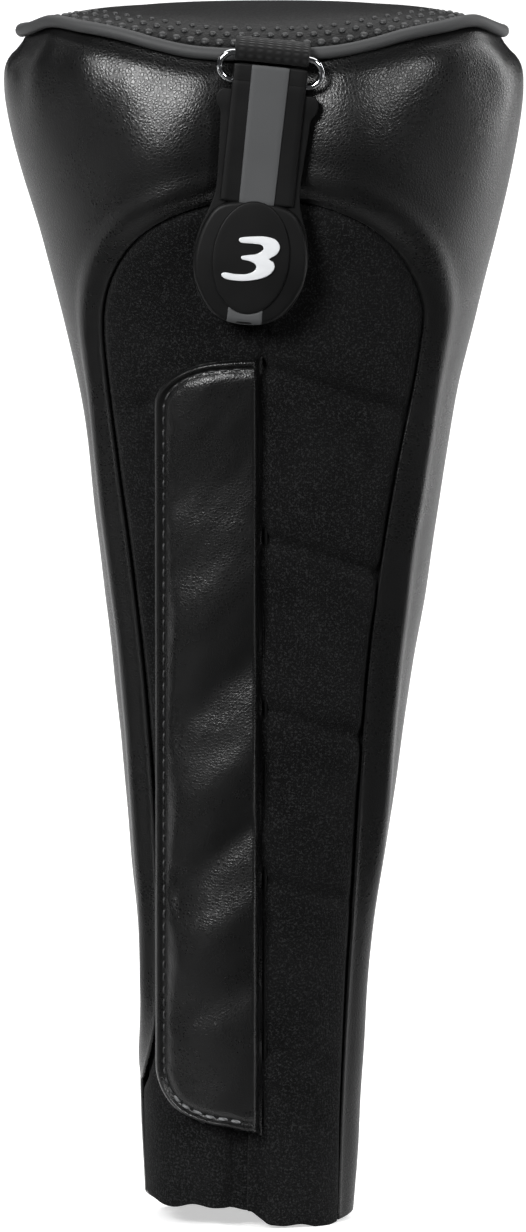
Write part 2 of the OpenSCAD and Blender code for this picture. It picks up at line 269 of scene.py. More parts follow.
def add_uv(piece, uv):
    """UV map in metres from a grid of (u, v), the same on both sides of the sheet."""
    flat = uv.reshape(-1, 2)
    flat = np.concatenate([flat, flat])
    mesh = piece.data
    layer = mesh.uv_layers.new(name="cloth")
    corner = np.empty(len(mesh.loops), int)
    mesh.loops.foreach_get("vertex_index", corner)
    safe = np.where(corner < len(flat), corner, 0)
    layer.data.foreach_set("uv", flat[safe].ravel())


def lengths(grid, axis):
    """Distance run along an axis of a grid."""
    step = np.linalg.norm(np.diff(grid, axis=axis), axis=2)
    pad = [(0, 0), (0, 0)]
    pad[axis] = (1, 0)
    return np.pad(np.cumsum(step, axis=axis), pad)


def cloth_uv(grid):
    return np.stack([lengths(grid, 1), lengths(grid, 0)], axis=-1)


def tube(name, path, radius, sides=12, up=None, squash=1.0, closed=False):
    """Tube along a path; radius may differ along it."""
    path = np.array(path, float)
    if closed:
        along = np.roll(path, -1, axis=0) - np.roll(path, 1, axis=0)
    else:
        along = np.gradient(path, axis=0)
    along /= np.linalg.norm(along, axis=1, keepdims=True)
    up = np.array([0, 0, 1.0]) if up is None else np.array(up, float)
    side = np.cross(along, up)
    side /= np.maximum(np.linalg.norm(side, axis=1, keepdims=True), 1e-9)
    top = np.cross(side, along)
    w = np.arange(sides) / sides * 2 * math.pi
    r = spread(radius, (len(path),))
    points = (path[:, None] + r[:, None] * (np.cos(w)[None, :, None] * side[:, None]
              + squash * np.sin(w)[None, :, None] * top[:, None])).reshape(-1, 3)
    faces = []
    count = len(path)
    for i in range(count if closed else count - 1):
        p, q = i * sides, (i + 1) % count * sides
        faces += [[p + j, p + (j + 1) % sides, q + (j + 1) % sides, q + j] for j in range(sides)]
    if not closed:
        faces += [list(range(sides))[::-1], [(count - 1) * sides + j for j in range(sides)]]
    piece = from_faces(name, points, faces)
    outwards(piece)
    return piece


def outwards(piece):
    """Turns a closed mesh's faces to look outwards."""
    work = bmesh.new()
    work.from_mesh(piece.data)
    bmesh.ops.recalc_face_normals(work, faces=work.faces)
    work.to_mesh(piece.data)
    work.free()


def join(name, pieces):
    """Joins several meshes into one piece."""
    work = bmesh.new()
    for piece in pieces:
        work.from_mesh(piece.data)
        bpy.data.objects.remove(piece)
    mesh = bpy.data.meshes.new(name)
    work.to_mesh(mesh)
    work.free()
    mesh.polygons.foreach_set("use_smooth", [True] * len(mesh.polygons))
    return link(name, mesh)


def noise(points, size, seed):
    """Smooth repeatable noise from -1 to 1, with features about size across."""
    total = np.zeros(points.shape[:-1])
    draw = np.random.default_rng(seed)
    for octave in range(2):
        scale = 2 ** octave / size
        for _ in range(6):
            wave = draw.normal(size=3)
            wave *= scale * 2 / np.linalg.norm(wave)
            total += np.sin(points @ wave + draw.uniform(0, 2 * math.pi)) / 3 / 2 ** octave
    return total


# ---- materials: one function for each, with its grain, weave or wear in nodes ----

class Nodes:
    """Builds one material's node tree; every coordinate is the object's own, in metres."""

    def __init__(self, name):
        self.mat = bpy.data.materials.new(name)
        self.mat.use_nodes = True
        self.tree = self.mat.node_tree
        self.shader = self.tree.nodes["Principled BSDF"]
        self.where = self.add("ShaderNodeTexCoord").outputs["Object"]

    def add(self, kind, **sockets):
        node = self.tree.nodes.new(kind)
        for key, value in sockets.items():
            self.put(node, key, value)
        return node

    def put(self, node, key, value):
        if hasattr(node, key) and not isinstance(value, bpy.types.NodeSocket) and key not in node.inputs:
            setattr(node, key, value)
        elif isinstance(value, bpy.types.NodeSocket):
            self.tree.links.new(value, node.inputs[key])
        else:
            node.inputs[key].default_value = value

    def shade(self, **sockets):
        for key, value in sockets.items():
            self.put(self.shader, key.replace("_", " "), value)

    def noise(self, scale, detail=3.0, rough=0.5, vector=None):
        return self.add("ShaderNodeTexNoise", Vector=vector or self.where, Scale=scale, Detail=detail,
                        Roughness=rough).outputs["Fac"]

    def cells(self, scale, feature, vector):
        node = self.add("ShaderNodeTexVoronoi", feature=feature, Vector=vector, Scale=scale)
        return node.outputs["Distance"]

    def remap(self, value, low, high, to_low=0.0, to_high=1.0):
        node = self.add("ShaderNodeMapRange", Value=value)
        for key, number in (("From Min", low), ("From Max", high), ("To Min", to_low), ("To Max", to_high)):
            node.inputs[key].default_value = number
        return node.outputs["Result"]

    def math(self, operation, a, b):
        node = self.add("ShaderNodeMath", operation=operation)
        for socket, value in zip(node.inputs, (a, b)):
            if isinstance(value, bpy.types.NodeSocket):
                self.tree.links.new(value, socket)
            else:
                socket.default_value = value
        return node.outputs[0]

    def tint(self, value, dark, light):
        node = self.add("ShaderNodeMix", data_type="RGBA")
        self.tree.links.new(value, node.inputs["Factor"])
        node.inputs["A"].default_value = (*dark, 1)
        node.inputs["B"].default_value = (*light, 1)
        return node.outputs["Result"]

    def bump(self, height, strength, distance, after=None):
        node = self.add("ShaderNodeBump", Height=height, Strength=strength, Distance=distance)
        if after is not None:
            self.tree.links.new(after, node.inputs["Normal"])
        return node.outputs["Normal"]

    def stretched(self, x, y, z, source):
        return self.add("ShaderNodeMapping", Vector=source, Scale=(x, y, z)).outputs["Vector"]

    def cloth_place(self):
        return self.add("ShaderNodeUVMap", uv_map="cloth").outputs["UV"]


def gray(level, cool=0.02):
    return level * (1 - cool), level, level * (1 + cool)


def leather(name, grain, rough, level, depth, gloss=0.5):
    """Coated leather: rounded pebbles of size grain, with creases between them and a slight haze."""
    m = Nodes(name)
    warp = m.add("ShaderNodeVectorMath", operation="ADD")
    drift = m.add("ShaderNodeTexNoise", Vector=m.where, Scale=0.5 / grain, Detail=1.0).outputs["Color"]
    small = m.add("ShaderNodeVectorMath", operation="SCALE", Vector=drift,
                  Scale=grain * 0.8).outputs["Vector"]
    m.tree.links.new(m.where, warp.inputs[0])
    m.tree.links.new(small, warp.inputs[1])
    place = warp.outputs["Vector"]
    pebble = m.remap(m.cells(1 / grain, "DISTANCE_TO_EDGE", place), 0.0, 0.28)
    fine = m.cells(2.6 / grain, "F1", place)
    broad = m.noise(60, 3)
    first = m.bump(pebble, 0.85, depth)
    second = m.bump(fine, 0.35, depth * 0.5, first)
    m.shade(Base_Color=m.tint(broad, gray(level * 0.75), gray(level * 1.3)),
            Roughness=m.remap(m.math("ADD", m.math("MULTIPLY", broad, 0.6), m.math("MULTIPLY", pebble, 0.4)),
                              0.2, 0.8, rough + 0.09, rough - 0.05),
            Normal=second, Specular_IOR_Level=gloss)
    return m.mat


def knit(name, level, rib=0.0006, fleck=0.5):
    """Fine stretch knit: rows of small loops with light flecks and a soft sheen."""
    m = Nodes(name)
    place = m.cloth_place()
    loops = m.add("ShaderNodeTexVoronoi", feature="F1", Vector=m.stretched(1 / rib, 0.75 / rib, 1, place),
                  Scale=1.0, Randomness=0.35).outputs["Distance"]
    speck = m.noise(1700, 2, 0.75)
    broad = m.noise(45, 3)
    light = m.math("ADD", m.math("MULTIPLY", m.remap(speck, 0.5, 0.7), fleck),
                   m.math("MULTIPLY", broad, 0.35))
    m.shade(Base_Color=m.tint(light, gray(level * 0.25), gray(level * 5)),
            Normal=m.bump(loops, 0.8, 0.0003, m.bump(speck, 0.6, 0.0002)),
            Roughness=0.95, Specular_IOR_Level=0.05, Sheen_Weight=0.035, Sheen_Roughness=0.5)
    return m.mat


def weave(name, level, pitch=0.0013):
    """Webbing: diagonal pairs of ribs from a herringbone of fine yarns."""
    m = Nodes(name)
    place = m.cloth_place()
    warp = m.add("ShaderNodeTexWave", wave_type="BANDS", bands_direction="X", Vector=place,
                 Scale=0.16 / pitch,
                 Distortion=0.6).outputs["Fac"]
    weft = m.add("ShaderNodeTexWave", wave_type="BANDS", bands_direction="Y", Vector=place, Scale=0.3 / pitch,
                 Distortion=0.8).outputs["Fac"]
    height = m.math("MULTIPLY", warp, weft)
    m.shade(Base_Color=m.tint(height, gray(level * 0.4), gray(level * 1.7)),
            Normal=m.bump(height, 0.7, 0.00035, m.bump(m.noise(3000, 2), 0.4, 0.0001)),
            Roughness=0.8, Specular_IOR_Level=0.2, Sheen_Weight=0.08)
    return m.mat


def moulded(name, level, rough, grain=0.0004, bumpy=0.3, cool=0.02, gloss=0.5):
    """Moulded rubber or coated tape with a fine matt skin."""
    m = Nodes(name)
    fine = m.noise(1 / grain, 3, 0.6)
    broad = m.noise(80, 3)
    m.shade(Base_Color=m.tint(broad, gray(level * 0.85, cool), gray(level * 1.15, cool)),
            Roughness=m.remap(broad, 0.3, 0.7, rough - 0.05, rough + 0.06),
            Normal=m.bump(fine, bumpy, 0.0001), Specular_IOR_Level=gloss)
    return m.mat


def chrome(name):
    m = Nodes(name)
    wear = m.noise(300, 4, 0.6)
    m.shade(Base_Color=m.tint(wear, gray(0.62), gray(0.8)), Roughness=m.remap(wear, 0.35, 0.7, 0.05, 0.16),
            Metallic=1.0)
    return m.mat


def thread_material(name, level):
    """Twisted thread: slanting plies."""
    m = Nodes(name)
    twist = m.add("ShaderNodeTexWave", wave_type="BANDS", bands_direction="DIAGONAL", Vector=m.where,
                  Scale=260.0,
                  Distortion=0.5).outputs["Fac"]
    m.shade(Base_Color=m.tint(twist, gray(level * 0.6), gray(level * 1.3)), Normal=m.bump(twist, 0.6, 0.0001),
            Roughness=0.5)
    return m.mat


def fleece(name, level, size=0.0012):
    """Brushed lining or foam: soft tufts."""
    m = Nodes(name)
    tufts = m.noise(1 / size, 4, 0.7)
    m.shade(Base_Color=m.tint(tufts, gray(level * 0.6), gray(level * 1.4)), Normal=m.bump(tufts, 0.9, 0.0006),
            Roughness=1.0, Sheen_Weight=0.3)
    return m.mat


LEATHER = leather("black_leather", 0.0009, 0.3, 0.0035, depth=0.00004)
FLAP_LEATHER = leather("flap_leather", 0.0008, 0.3, 0.004, depth=0.00004)
CROWN = leather("crown_synthetic", 0.0014, 0.42, 0.003, depth=0.00008, gloss=0.16)
# The dots' grey, ten times the crown's, is partly their own lighter colour and partly a painted highlight.
DOT = moulded("crown_dot", 0.03, 0.45, bumpy=0.3)
PIPING = moulded("piping_gray", 0.045, 0.6, bumpy=0.5)
KNIT = knit("knit_black", 0.0055, fleck=0.9)
TAPE = weave("seam_tape", 0.02, 0.0008)
FOAM = fleece("foam", 0.35, 0.0008)
FLEECE = fleece("fleece", 0.05)
ELASTIC = weave("elastic", 0.4, 0.001)
COTTON = thread_material("cord_cotton", 0.6)
NAP = fleece("hook_and_loop", 0.02, 0.0007)
BACKING = knit("flap_backing", 0.02, 0.0007)
WEBBING = weave("webbing", 0.008)
THREAD = thread_material("thread", 0.2)
# Darker copy of the same thread: painted shade for the side stitches, which sit in the ditch along the flap's
# edge.
THREAD_PAINTED_SHADE = thread_material("thread_painted_shade", 0.045)
CHROME = chrome("chrome")
RUBBER = moulded("tag_rubber", 0.004, 0.5, gloss=0.2)
STRIPE = moulded("stripe_gray", 0.066, 0.6, bumpy=0.5, cool=0.03)
SILVER = moulded("numeral_silver", 0.8, 0.3, bumpy=0.1)


def finish(piece, material, slot, body, *nodes):
    """Gives a piece its material and its body, and hides the CAD nodes that it stands for; slot is not used.
    """
    piece.data.materials.clear()
    piece.data.materials.append(material)
    if body:
        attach(piece, body)
    if nodes:
        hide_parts(*nodes)
    return piece


# ---- camera, light and stage ----

def look_at(thing, target):
    thing.rotation_euler = (Vector(target) - thing.location).to_track_quat("-Z", "Y").to_euler()


def add_camera():
    data = bpy.data.cameras.new("Camera")
    camera = bpy.data.objects.new("Camera", data)
    bpy.context.scene.collection.objects.link(camera)
    middle = Vector((0, 0, 0.169))
    lift = math.radians(8)
    away = 6.0
    camera.location = middle + Vector((0, -math.cos(lift), math.sin(lift))) * away
    look_at(camera, middle)
    data.sensor_width = 36
    data.lens = 36 * away / 0.3439
    data.clip_start, data.clip_end = 0.1, 60
    bpy.context.scene.camera = camera


def add_light(name, place, target, width, height, watts):
    data = bpy.data.lights.new(name, "AREA")
    data.shape = "RECTANGLE"
    data.size, data.size_y, data.energy = width, height, watts
    light = bpy.data.objects.new(name, data)
    bpy.context.scene.collection.objects.link(light)
    light.location = place
    look_at(light, target)


def add_stage():
    """Large pale floor, a black card before the object that only reflections see, and a pale world."""
    m = Nodes("floor_pale")
    seen = m.add("ShaderNodeLightPath").outputs["Is Camera Ray"]
    m.shade(Base_Color=m.tint(m.noise(1.5, 2), gray(0.8, 0), gray(0.84, 0)),
            Emission_Strength=m.math("MULTIPLY", seen, 0.55), Emission_Color=(1, 1, 1, 1),
            Roughness=0.9, Specular_IOR_Level=0.1)
    w = np.linspace(0, 2 * math.pi, 72, endpoint=False)
    rings = [np.stack([r * np.cos(w), r * np.sin(w), 0 * w - 0.0008], axis=-1) for r in (0.2, 1, 4, 12)]
    points = np.concatenate([[[0, 0, -0.0008]]] + rings)
    faces = [[0, 1 + j, 1 + (j + 1) % 72] for j in range(72)]
    for k in range(3):
        p = 1 + 72 * k
        faces += [[p + j, p + 72 + j, p + 72 + (j + 1) % 72, p + (j + 1) % 72] for j in range(72)]
    floor = from_faces("Floor", points, faces)
    floor.data.materials.append(m.mat)

    card = from_faces("Dark_card", [(-1.1, -0.07, 0.002), (1.1, -0.07, 0.002), (1.1, -3.2, 0.002),
                                    (-1.1, -3.2, 0.002)], [[0, 3, 2, 1]])
    m = Nodes("card_black")
    m.shade(Base_Color=m.tint(m.noise(3, 2), gray(0.01, 0), gray(0.015, 0)))
    card.data.materials.append(m.mat)
    card.visible_camera = card.visible_shadow = False

    world = bpy.data.worlds.new("Studio")
    bpy.context.scene.world = world
    world.use_nodes = True
    tree = world.node_tree
    back = tree.nodes["Background"]
    path = tree.nodes.new("ShaderNodeLightPath")
    mix = tree.nodes.new("ShaderNodeMix")
    mix.data_type = "RGBA"
    mix.inputs["A"].default_value = (0.03, 0.03, 0.032, 1)
    mix.inputs["B"].default_value = (0.95, 0.95, 0.95, 1)
    tree.links.new(path.outputs["Is Camera Ray"], mix.inputs["Factor"])
    tree.links.new(mix.outputs["Result"], back.inputs["Color"])


def add_lights():
    add_light("Overhead", (0, 2.2, 3.4), (0, 2.2, 0), 5.0, 4.5, 150)
    add_light("Left_flank", (-1.3, 0.9, 0.4), (0, 0, 0.2), 0.4, 1.2, 1.2)
    add_light("Right_flank", (1.3, 0.6, 0.5), (0, 0, 0.2), 0.5, 1.3, 13)
    add_light("Key", (-0.85, -1.5, 1.12), (0, 0, 0.28), 0.65, 0.6, 36)
    add_light("Key_right", (1.15, -1.5, 1.2), (0, 0, 0.28), 0.35, 0.5, 13)


# ---- the padded body ----

def form(z, x, front):
    """How far the padding stands out: a swell each side of the tag and a valley between them."""
    swell = 3.4 * bell(np.abs(x), 0.029, 0.016) * bell(z, 0.298, 0.022)
    valley = -3.0 * bell(x, 0, 0.0125) * ramp(z, 0.262, 0.285)
    return MM * front * (swell + valley)


def soft_noise(p):
    return MM * (0.7 * noise(p, 0.05, 3) + 0.22 * noise(p, 0.016, 8))


def grid_of(z, t):
    """Nominal section points of a grid with heights z and angles t, and how far each faces the front."""
    base = on_body(z, t)
    return base, np.clip(np.cos(t) * 2.5, 0, 1)


def edge_line(side):
    """Seam between the knit and the leather, from the hem to the top of the arch."""
    near = ARCH_TOP - 0.02 * np.linspace(0, 1, 120) ** 2
    z = np.unique(np.concatenate([np.linspace(0, ARCH_TOP, 420), near]))
    return on_body(z, angle_at(z, panel_edge(z, side)))


def distance_to(points, line):
    flat = points.reshape(-1, 3)
    best = np.full(len(flat), 9.0)
    for start in range(0, len(line), 60):
        part = line[start:start + 60]
        best = np.minimum(best, np.linalg.norm(flat[:, None] - part[None], axis=2).min(axis=1))
    return best.reshape(points.shape[:-1])


BOTH_EDGES = np.concatenate([edge_line(-1), edge_line(1)])


def leather_grid(side):
    """Outer surface of one leather panel, from its seam with the knit to the back."""
    z = np.unique(np.concatenate([np.linspace(0, ARCH_TOP - 0.014, 170), arch_rows(0.0016, ARCH_TOP),
                                  np.linspace(ARCH_TOP, BODY_H, 30)]))
    z = z[np.concatenate([[True], np.diff(z) > 0.00004])]
    edge = np.where(z < ARCH_TOP, panel_edge(np.minimum(z, ARCH_TOP), side), 0)
    start = angle_at(z, edge)
    start = np.where(z >= ARCH_TOP, side * 1e-4, start)
    s = np.linspace(0, 1, 150) ** 1.25
    t = start[:, None] + (side * math.radians(179.9) - start[:, None]) * s[None]
    zz = np.broadcast_to(z[:, None], t.shape)
    if side < 0:
        t = t[:, ::-1]
    base, front = grid_of(zz, t)
    d = distance_to(base, BOTH_EDGES)
    fade = ramp(zz, 0.04, 0.07) if side < 0 else 1.0
    low = 1 - ramp(zz, 0.2, 0.27)
    if side < 0:
        ridge = fade * (0.6 + 0.7 * low) * bell(d, 0.0055, 0.003)
    else:
        ridge = (0.6 + 1.3 * low * ramp(zz, 0.02, 0.13)) * bell(d, 0.0068, 0.0032)
    sunk = (2.1 - 0.5 * low) * bell(d, 0, 0.003) * (0.2 + 0.8 * fade)
    ridge += 0.7 * ramp(zz, 0.02, 0.12) * bell(d, 0, 0.02) - sunk
    gather = 0.55 * ramp(zz, 0.303, 0.326) * noise(base * [1, 1, 0.25], 0.009, 21)
    tuck = -1.3 * ramp(zz, BODY_H - 0.005, BODY_H)
    off = form(zz, base[..., 0], front) + MM * (ridge + gather + tuck) + soft_noise(base) * ramp(d, 0, 0.01)
    return on_body(zz, t, off)


def chevrons(z, x, side):
    """Quilting lines of the knit: depth of the grooves and the swell of the padding between them."""
    total = np.zeros(np.shape(z))
    for k in range(5):
        line = (0.2445 - 0.0485 * k) - np.abs(x) * (0.35 - 0.02 * k)
        keep = 1 - 0.12 * k
        reach = 1 - ramp(np.abs(x), 0.034 - 0.005 * k, 0.043 - 0.005 * k)
        gone = z - line
        total += keep * reach * (-2.5 * bell(gone, 0, 0.0019) + 0.9 * bell(np.abs(gone), 0.008, 0.006))
    return total


def knit_grid(side):
    """Outer surface of one half of the knit panel; its outer edge runs on under the leather."""
    top = ARCH_TOP + 0.0022
    z = arch_rows(0.0014, top)
    edge = angle_at(z, panel_edge(z, side, 0.0022))
    s = np.concatenate([[0, 0.006, 0.014, 0.024, 0.036], np.linspace(0.05, 1, 44)])
    t = side * 1e-3 + (edge[:, None] - side * 1e-3) * s[None]
    zz = np.broadcast_to(z[:, None], t.shape)
    if side < 0:
        t = t[:, ::-1]
    base, front = grid_of(zz, t)
    d = distance_to(base, BOTH_EDGES)
    under = np.abs(base[..., 0]) > np.abs(panel_edge(np.minimum(zz, ARCH_TOP), side))
    sink = np.where(under | (zz > ARCH_TOP), 1, bell(d, 0, 0.0022))
    fold = ramp(base[..., 0], -0.0110, -0.0098) * (1 - 0.6 * ramp(base[..., 0], -0.009, 0))
    recess = fold * (1 - ramp(zz, 0.03, 0.06)) * (side < 0)
    centre = bell(base[..., 0], 0, 0.0016) * (1 - ramp(zz, 0.262, 0.275))
    left = -base[..., 0]
    covered = ramp(left, 0.0, 0.003) * (1 - ramp(left, 0.029, 0.033)) * (1 - ramp(zz, 0.243, 0.25))
    quilt = chevrons(zz, base[..., 0], side) * (1 - covered)
    depth = -0.9 - 1.8 * sink - 1.3 * centre * (1 - recess) - 2.7 * recess + quilt
    off = form(zz, base[..., 0], front) + MM * depth
    off += MM * 0.35 * noise(base, 0.02, 5) * (1 - covered) * (1 - sink)
    return on_body(zz, t, off)


def layer_grid(low, high, off, cols=150, gap=0.0003, step=0.004):
    """Surface right round the body, open at the front slit, at a steady depth below the skin."""
    z = np.linspace(low, high, max(4, int((high - low) / step)))
    left, right = angle_at(z, -gap), angle_at(z, gap)
    s = np.linspace(0, 1, cols)
    t = right[:, None] + (2 * math.pi + left[:, None] - right[:, None]) * s[None]
    zz = np.broadcast_to(z[:, None], t.shape)
    base, front = grid_of(zz, t)
    return on_body(zz, t, off + form(zz, base[..., 0], front) + 0.6 * soft_noise(base))


def stack(name, rings, fan=True):
    """Closed solid through a list of rings with the same number of points, with a cap at each end."""
    count = len(rings[0])
    points = list(np.concatenate(rings))
    last = (len(rings) - 1) * count
    faces = []
    for k in range(len(rings) - 1):
        p = k * count
        faces += [[p + j, p + (j + 1) % count, p + count + (j + 1) % count,
                   p + count + j] for j in range(count)]
    if fan:
        points += [rings[0].mean(axis=0), rings[-1].mean(axis=0)]
        low, high = len(points) - 2, len(points) - 1
        faces += [[low, (j + 1) % count, j] for j in range(count)]
        faces += [[high, last + j, last + (j + 1) % count] for j in range(count)]
    else:
        faces += [list(range(count))[::-1], [last + j for j in range(count)]]
    piece = from_faces(name, points, faces)
    outwards(piece)
    return piece


def curve_through(points, per=8, closed=True):
    """Smooth curve through points, with per steps between two of them."""
    p = np.array(points, float)
    if closed:
        p = np.concatenate([p[-1:], p, p[:2]])
    else:
        p = np.concatenate([2 * p[:1] - p[1:2], p, 2 * p[-1:] - p[-2:-1]])
    t = (np.arange(per) / per)[:, None]
    out = []
    for a, b, c, d in zip(p, p[1:], p[2:], p[3:]):
        out.append(0.5 * (2 * b + (c - a) * t + (2 * a - 5 * b + 4 * c - d) * t ** 2
                          + (3 * b - a - 3 * c + d) * t ** 3))
    if not closed:
        out.append(p[-2:-1])
    return np.concatenate(out)


def resample(path, step):
    """Points at even distances along an open path."""
    run = np.concatenate([[0], np.cumsum(np.linalg.norm(np.diff(path, axis=0), axis=1))])
    at = np.linspace(0, run[-1], max(2, int(round(run[-1] / step)) + 1))
    return np.stack([np.interp(at, run, path[:, k]) for k in range(path.shape[1])], axis=1)


def inset(outline, by):
    """Closed outline, counter-clockwise, moved inwards by a distance."""
    along = np.roll(outline, -1, axis=0) - np.roll(outline, 1, axis=0)
    along /= np.linalg.norm(along, axis=1, keepdims=True)
    return outline + by * np.stack([-along[:, 1], along[:, 0]], axis=1)


# ---- crown ----

def crown_ring(share, edge, z, count=240):
    """Ring of the crown at a share of its radius, with its rim moved in by edge."""
    t = np.linspace(-math.pi, math.pi, count, endpoint=False)
    p = on_body(np.full(count, BODY_H), t, edge)
    lift = seam_lift(p[:, 0], t) * share ** 3
    return np.stack([p[:, 0] * share, p[:, 1] * share, z + lift], axis=1)


CROWN_Z = BODY_H + 0.4 * MM
CROWN_RISE = 7.4 * MM


def dome(share):
    return CROWN_Z + CROWN_RISE * (1 - share ** 5)


def crown_rings(shares, edge, lift):
    """Rings of the domed crown, raised by lift and softly uneven."""
    rings = []
    for share in shares:
        ring = crown_ring(share, edge, dome(share) + lift)
        uneven = noise(ring, 0.04, 11) - bell(1 - share, 0, 0.035) + ring[:, 0] / 0.03 * (1 - share ** 2)
        ring[:, 2] += 0.5 * MM * uneven
        rings.append(ring)
    return rings


def build_crown():
    edge = -1.5 * MM
    shares = np.concatenate([np.linspace(0.02, 0.78, 30), np.linspace(0.79, 1, 30)])
    over = crown_rings(shares, edge, 1.4 * MM)
    under = [ring - [0, 0, 1.3 * MM] for ring in over]
    lip = (over[-1] + under[-1]) / 2
    lip = lip + (lip - lip.mean(axis=0)) * [0.008, 0.008, 0]
    finish(stack("crown_top", under + [lip] + over[::-1]), CROWN, "crown_synthetic", "cover",
                          "crown_panel")

    pad = crown_rings(np.linspace(0.03, 0.86, 12), edge, -0.25 * MM)
    base = [crown_ring(f, edge, CROWN_Z - 0.2 * MM) for f in np.linspace(0.03, 0.86, 12)]
    pad = stack("crown_pad", base + pad[::-1])
    finish(pad, FOAM, "foam", "cover", "crown_padding")
    flat = [crown_ring(f, -3 * MM, BODY_H + z * MM) for f,
            z in ((0.5, -0.8), (1, -0.8), (1, 0.1), (0.5, 0.1))]
    finish(stack("crown_inner", flat), FLEECE, "fleece", "cover", "crown_lining")

    # Raised dots across the front of the crown, in the lighter dot material that is partly a painted
    # highlight.
    dots = []
    ball = [(math.sin(a), math.cos(a)) for a in (1.45, 1.0, 0.5)]
    w = np.arange(8) / 8 * 2 * math.pi
    for row in range(3):
        share = 0.935 - 0.075 * row
        ring = resample(crown_rings([share], edge, 1.36 * MM)[0], 0.2 * MM)
        ring = ring[(ring[:, 1] < -0.006)]
        line = resample(ring[np.argsort(ring[:, 0])], 4.0 * MM)[1 + row % 2:-1]
        for mid in line:
            size = (1.3 - 0.2 * row) * MM
            tilt = -0.75 * share ** 8
            c, s = math.cos(tilt), math.sin(tilt)
            disc = [np.stack([size * r * np.cos(w), size * r * np.sin(w) * c + 0.7 * size * h * s,
                              0.7 * size * h * c - size * r * np.sin(w) * s], axis=1)
                    for r, h in [(1, -0.4)] + ball]
            dots.append(stack("dot", [mid + ring_points for ring_points in disc]))
    finish(join("crown_dots", dots), DOT, "crown_synthetic", "cover")


def tube_skin(name, path, radius, wall, sides=16):
    """Hollow tube along an open path that lies level."""
    along = np.gradient(path, axis=0)
    along /= np.linalg.norm(along, axis=1, keepdims=True)
    out = np.cross(along, [0, 0, 1.0])
    w = np.arange(sides) / sides * 2 * math.pi
    grid = path[:, None] + radius * (np.cos(w)[None, :, None] * out[:, None]
                                     + np.sin(w)[None, :, None] * np.array([0, 0, 1.0]))
    if (normals_of(grid, True)[5, 0] * out[5]).sum() < 0:
        grid = grid[:, ::-1]
    return cloth(name, grid, wall, closed=True)


def build_piping():
    t = np.radians(np.linspace(-179.6, 179.6, 420))
    z = np.full(len(t), BODY_H)
    path = on_body(z, t, 0.0)
    path[:, 2] += 1.9 * MM + 0.25 * MM * noise(path, 0.03, 17)
    path[:, :2] += (0.3 * MM * noise(path, 0.035, 19))[:, None] * path[:, :2] / 0.05
    finish(tube_skin("piping", path, 1.8 * MM, 0.5 * MM), PIPING, "piping_gray", "cover", "crown_piping")
    finish(tube("piping_core", path, 1.2 * MM, 10), COTTON, "cord_cotton", "cover", "piping_cord")
    seam = path * [0.972, 0.962, 1] + [0, 0, 1.0 * MM]
    finish(tube("crown_seam", seam, 0.55 * MM, 8, squash=0.8), LEATHER, "crown_synthetic", "cover")


# ---- inner layers and hem ----

def shell_piece(name, low, high, off, thick, material, slot, node, **more):
    grid = layer_grid(low, high, off * MM, **more)
    piece = finish(cloth(name, grid, thick * MM), material, slot, "cover", node)
    return piece


def build_inside():
    top = BODY_H - 1 * MM
    shell_piece("padding", 0.0142, top, -4.2, 1.8, FOAM, "foam", "body_foam")
    shell_piece("head_lining_cloth", 0.1501, top, -6.5, 0.9, FLEECE, "fleece", "head_lining")
    shell_piece("neck_lining_cloth", 0.0142, 0.1495, -6.5, 0.9, FLEECE, "fleece", "neck_lining")
    shell_piece("elastic_band", 0.002, 0.012, -4.2, 0.9, ELASTIC, "elastic", "neck_elastic", step=0.0012)
    shell_piece("hem_band", 0.0002, 0.0138, -5.5, 0.8, KNIT, "knit_black", "neck_hem", step=0.0012)

    z = np.linspace(0.002, SEAM_TOP - 0.004, 60)
    t = np.linspace(angle_at(z, -0.009), angle_at(z, 0.009), 12).T
    grid = on_body(z[:, None] + 0 * t, t, -7.9 * MM)
    finish(cloth("gusset", grid, 0.8 * MM), KNIT, "knit_black", "cover",
                    "slit_gusset")
    z = np.linspace(0.014, BODY_H - 0.002, 70)
    t = np.broadcast_to(np.radians(np.linspace(174, 186, 8)), (70, 8))
    grid = on_body(z[:, None] + 0 * t, t, -7.8 * MM)
    finish(cloth("seam_tape_back", grid, 0.6 * MM), TAPE, "seam_tape", "cover",
           "back_seam_tape")


# ---- closure flap: x and z below are its flat outline, before the lower edge is sloped ----

FLAP_ROUND = {"top": (17 * MM, 12 * MM), "low": (13 * MM, 19 * MM)}


def flap_left(z):
    """x of the flap's free edge at height z, with an elliptic corner above and below."""
    def corner(d, size):
        return size[0] * (1 - np.sqrt(np.maximum(0, 1 - (1 - np.clip(d / size[1], 0, 1)) ** 2)))
    return -FLAP_W + corner(SEAM_TOP - z, FLAP_ROUND["top"]) + corner(z - FLAP_BOTTOM, FLAP_ROUND["low"])


def flap_outline():
    """Free outline of the flap from the seam along the top, down the free edge and back along the bottom."""
    w = np.linspace(0, 1, 60)
    z = FLAP_BOTTOM + (SEAM_TOP - FLAP_BOTTOM) * (0.5 + 0.5 * np.sin((0.5 - w) * math.pi))
    left = np.stack([flap_left(z), z], axis=1)
    return resample(np.concatenate([[[0.004, SEAM_TOP]], left, [[0.004, FLAP_BOTTOM]]]), 0.0016)


FLAP_EDGE = flap_outline()


def to_edge(x, z):
    """Distance in the flat flap from points to its free outline."""
    q = np.stack([x, z], axis=-1).reshape(-1, 2)
    best = np.full(len(q), 9.0)
    for a, b in zip(FLAP_EDGE, FLAP_EDGE[1:]):
        share = np.clip((q - a) @ (b - a) / ((b - a) @ (b - a)), 0, 1)
        best = np.minimum(best, np.hypot(*(q - a - share[:, None] * (b - a)).T))
    return best.reshape(np.shape(x))


